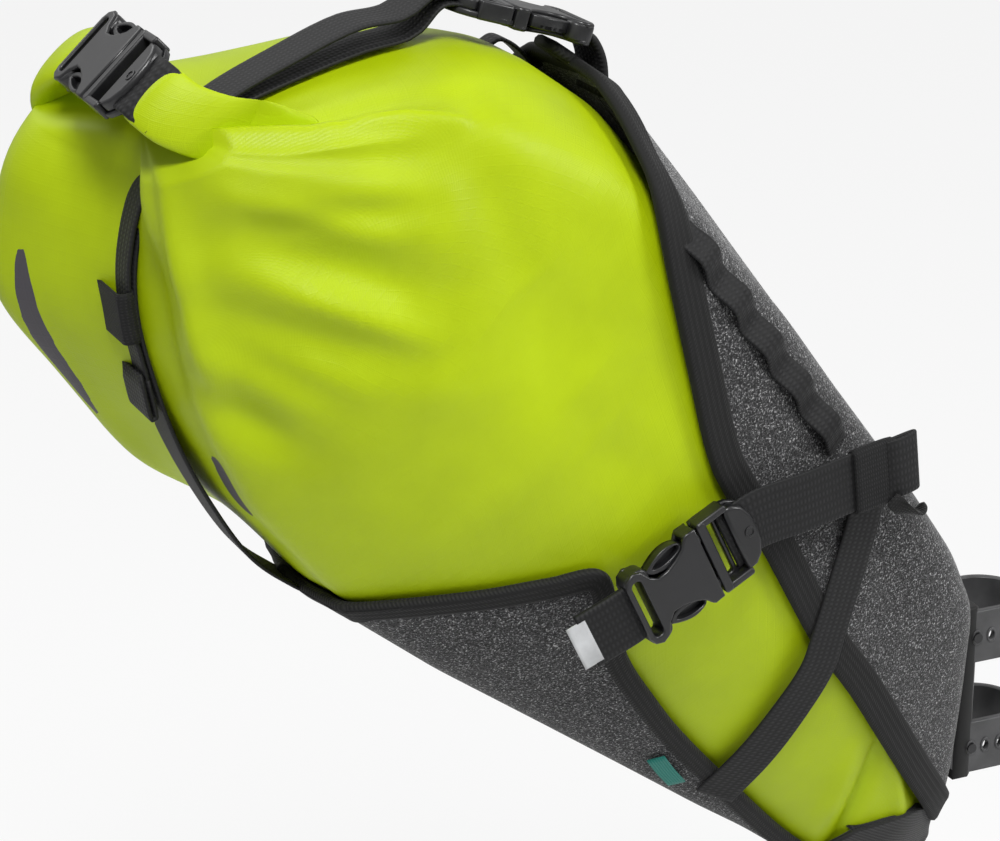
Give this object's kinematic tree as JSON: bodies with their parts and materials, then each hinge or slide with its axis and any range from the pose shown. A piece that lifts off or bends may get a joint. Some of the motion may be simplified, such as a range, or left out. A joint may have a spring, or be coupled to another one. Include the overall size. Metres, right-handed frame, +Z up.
{
  "type": "bicycle saddle bag",
  "caption": "Tapered felt harness holding a roll-top dry bag, strapped to a bicycle's seat post, with webbing and side-release buckles.",
  "frame": {"origin": "on the seat post's axis, half way between the two rubber straps", "axes": "+X to the front of the bicycle, +Y to its left, +Z up along the seat post"},
  "size_m": [0.4231, 0.1918, 0.4258],
  "materials": {
    "coated_green_fabric": "coated ripstop, satin",
    "grey_felt": "melange felt, matte",
    "binding_tape": "ribbed woven tape",
    "boot_rubber": "matte coated fabric",
    "buckle_plastic": "moulded acetal, satin",
    "strap_rubber": "satin rubber",
    "stiffener_plastic": "sheet plastic",
    "reflective_film": "reflective film",
    "label_fabric": "woven label",
    "keeper_elastic": "flat elastic",
    "webbing": "ribbed webbing"
  },
  "bodies": {
    "bag": {"centre_slack": "webbing", "centre_strap": "webbing", "centre_strap_tail": "webbing", "daisy_chain_left": "webbing", "daisy_chain_right": "webbing", "dry_bag": "coated_green_fabric", "harness_lower_sling": "grey_felt", "harness_upper_shell": "grey_felt", "lower_binding": "binding_tape", "nose_boot": "boot_rubber", "reflective_tab_left": "reflective_film", "reflective_tab_right": "reflective_film", "roll_buckle_socket": "buckle_plastic", "roll_ear_left": "coated_green_fabric", "roll_ear_right": "coated_green_fabric", "roll_stiffener": "stiffener_plastic", "roll_tab_left": "webbing", "roll_tab_right": "webbing", "rolled_mouth": "coated_green_fabric", "rubber_loop_lower": "strap_rubber", "rubber_loop_upper": "strap_rubber", "seatpost_pad": "boot_rubber", "side_buckle_socket_left": "buckle_plastic", "side_buckle_socket_right": "buckle_plastic", "side_label": "label_fabric", "side_slack_left": "webbing", "side_slack_right": "webbing", "side_strap_left": "webbing", "side_strap_right": "webbing", "side_strap_tip_left": "webbing", "side_strap_tip_right": "webbing", "side_stub_left": "webbing", "side_stub_right": "webbing", "stiffener_sheet": "stiffener_plastic", "strap_stud_lower": "buckle_plastic", "strap_stud_upper": "buckle_plastic", "tail_cuff": "binding_tape", "top_buckle_socket": "buckle_plastic", "top_stub": "webbing", "upper_binding": "binding_tape", "y_web_left": "webbing", "y_web_right": "webbing"},
    "side_buckle_plug_right": {"side_buckle_plug_right": "buckle_plastic"},
    "side_buckle_arm_a_right": {"side_buckle_arm_a_right": "buckle_plastic"},
    "side_buckle_arm_b_right": {"side_buckle_arm_b_right": "buckle_plastic"},
    "side_buckle_plug_left": {"side_buckle_plug_left": "buckle_plastic"},
    "side_buckle_arm_a_left": {"side_buckle_arm_a_left": "buckle_plastic"},
    "side_buckle_arm_b_left": {"side_buckle_arm_b_left": "buckle_plastic"},
    "top_buckle_plug": {"top_buckle_plug": "buckle_plastic"},
    "top_buckle_arm_a": {"top_buckle_arm_a": "buckle_plastic"},
    "top_buckle_arm_b": {"top_buckle_arm_b": "buckle_plastic"},
    "roll_buckle_plug": {"roll_buckle_plug": "buckle_plastic"},
    "roll_buckle_arm_a": {"roll_buckle_arm_a": "buckle_plastic"},
    "roll_buckle_arm_b": {"roll_buckle_arm_b": "buckle_plastic"},
    "rubber_end_upper": {"rubber_end_upper": "strap_rubber"},
    "rubber_end_lower": {"rubber_end_lower": "strap_rubber"},
    "side_keeper_right": {"side_keeper_right": "keeper_elastic"},
    "side_keeper_left": {"side_keeper_left": "keeper_elastic"},
    "rear_keeper": {"rear_keeper": "keeper_elastic"}
  },
  "joints": [
    {"name": "side_buckle_right_release", "type": "slide", "parent": "bag", "child": "side_buckle_plug_right", "axis": [0.8975, 0.0807, 0.4336], "range_m": [0, 0.02], "deforming": ["side_slack_right"]},
    {"name": "side_buckle_right_squeeze_a", "type": "hinge", "parent": "side_buckle_plug_right", "child": "side_buckle_arm_a_right", "pos_m": [-0.19474, -0.084, 0.12982], "axis": [0.0726, -0.9967, 0.0351], "range_deg": [0, 18.5]},
    {"name": "side_buckle_right_squeeze_b", "type": "hinge", "parent": "side_buckle_plug_right", "child": "side_buckle_arm_b_right", "pos_m": [-0.18526, -0.084, 0.11019], "axis": [-0.0726, 0.9967, -0.0351], "range_deg": [0, 18.5]},
    {"name": "side_buckle_left_release", "type": "slide", "parent": "bag", "child": "side_buckle_plug_left", "axis": [0.8975, -0.0807, 0.4336], "range_m": [0, 0.02], "deforming": ["side_slack_left"]},
    {"name": "side_buckle_left_squeeze_a", "type": "hinge", "parent": "side_buckle_plug_left", "child": "side_buckle_arm_a_left", "pos_m": [-0.19474, 0.084, 0.12982], "axis": [-0.0726, -0.9967, -0.0351], "range_deg": [0, 18.5]},
    {"name": "side_buckle_left_squeeze_b", "type": "hinge", "parent": "side_buckle_plug_left", "child": "side_buckle_arm_b_left", "pos_m": [-0.18526, 0.084, 0.11019], "axis": [0.0726, 0.9967, 0.0351], "range_deg": [0, 18.5]},
    {"name": "top_buckle_release", "type": "slide", "parent": "bag", "child": "top_buckle_plug", "axis": [-0.9555, 0, 0.2951], "range_m": [0, 0.02], "deforming": ["centre_slack"]},
    {"name": "top_buckle_squeeze_a", "type": "hinge", "parent": "top_buckle_plug", "child": "top_buckle_arm_a", "pos_m": [-0.238, -0.0109, 0.317], "axis": [0.2951, 0, 0.9555], "range_deg": [0, 18.5]},
    {"name": "top_buckle_squeeze_b", "type": "hinge", "parent": "top_buckle_plug", "child": "top_buckle_arm_b", "pos_m": [-0.238, 0.0109, 0.317], "axis": [-0.2951, 0, -0.9555], "range_deg": [0, 18.5]},
    {"name": "roll_buckle_release", "type": "slide", "parent": "bag", "child": "roll_buckle_plug", "axis": [0, -1, 0], "range_m": [0, 0.02], "deforming": ["roll_tab_right"]},
    {"name": "roll_buckle_squeeze_a", "type": "hinge", "parent": "roll_buckle_plug", "child": "roll_buckle_arm_a", "pos_m": [-0.37774, -0.004, 0.31842], "axis": [-0.682, 0, 0.7314], "range_deg": [0, 18.5]},
    {"name": "roll_buckle_squeeze_b", "type": "hinge", "parent": "roll_buckle_plug", "child": "roll_buckle_arm_b", "pos_m": [-0.39369, -0.004, 0.30356], "axis": [0.682, 0, -0.7314], "range_deg": [0, 18.5]},
    {"name": "rubber_upper_open", "type": "hinge", "parent": "bag", "child": "rubber_end_upper", "pos_m": [-0.0001, -0.0187, 0.0265], "axis": [0, 0, 1], "range_deg": [0, 100]},
    {"name": "rubber_lower_open", "type": "hinge", "parent": "bag", "child": "rubber_end_lower", "pos_m": [-0.0001, -0.0187, -0.0265], "axis": [0, 0, 1], "range_deg": [0, 100]},
    {"name": "keeper_right_slide", "type": "slide", "parent": "bag", "child": "side_keeper_right", "axis": [0.9808, 0.1716, 0.0924], "range_m": [-0.006, 0.004]},
    {"name": "keeper_left_slide", "type": "slide", "parent": "bag", "child": "side_keeper_left", "axis": [0.9808, -0.1716, 0.0924], "range_m": [-0.006, 0.004]},
    {"name": "rear_keeper_slide", "type": "slide", "parent": "bag", "child": "rear_keeper", "axis": [-0.1299, 0, 0.9915], "range_m": [-0.005, 0.005]}
  ],
  "couplings": [
    {"joint": "side_buckle_right_squeeze_a", "follows": "side_buckle_right_release", "rad_per_m": 16},
    {"joint": "side_buckle_right_squeeze_b", "follows": "side_buckle_right_release", "rad_per_m": 16},
    {"joint": "side_buckle_left_squeeze_a", "follows": "side_buckle_left_release", "rad_per_m": 16},
    {"joint": "side_buckle_left_squeeze_b", "follows": "side_buckle_left_release", "rad_per_m": 16},
    {"joint": "top_buckle_squeeze_a", "follows": "top_buckle_release", "rad_per_m": 16},
    {"joint": "top_buckle_squeeze_b", "follows": "top_buckle_release", "rad_per_m": 16},
    {"joint": "roll_buckle_squeeze_a", "follows": "roll_buckle_release", "rad_per_m": 16},
    {"joint": "roll_buckle_squeeze_b", "follows": "roll_buckle_release", "rad_per_m": 16}
  ]
}
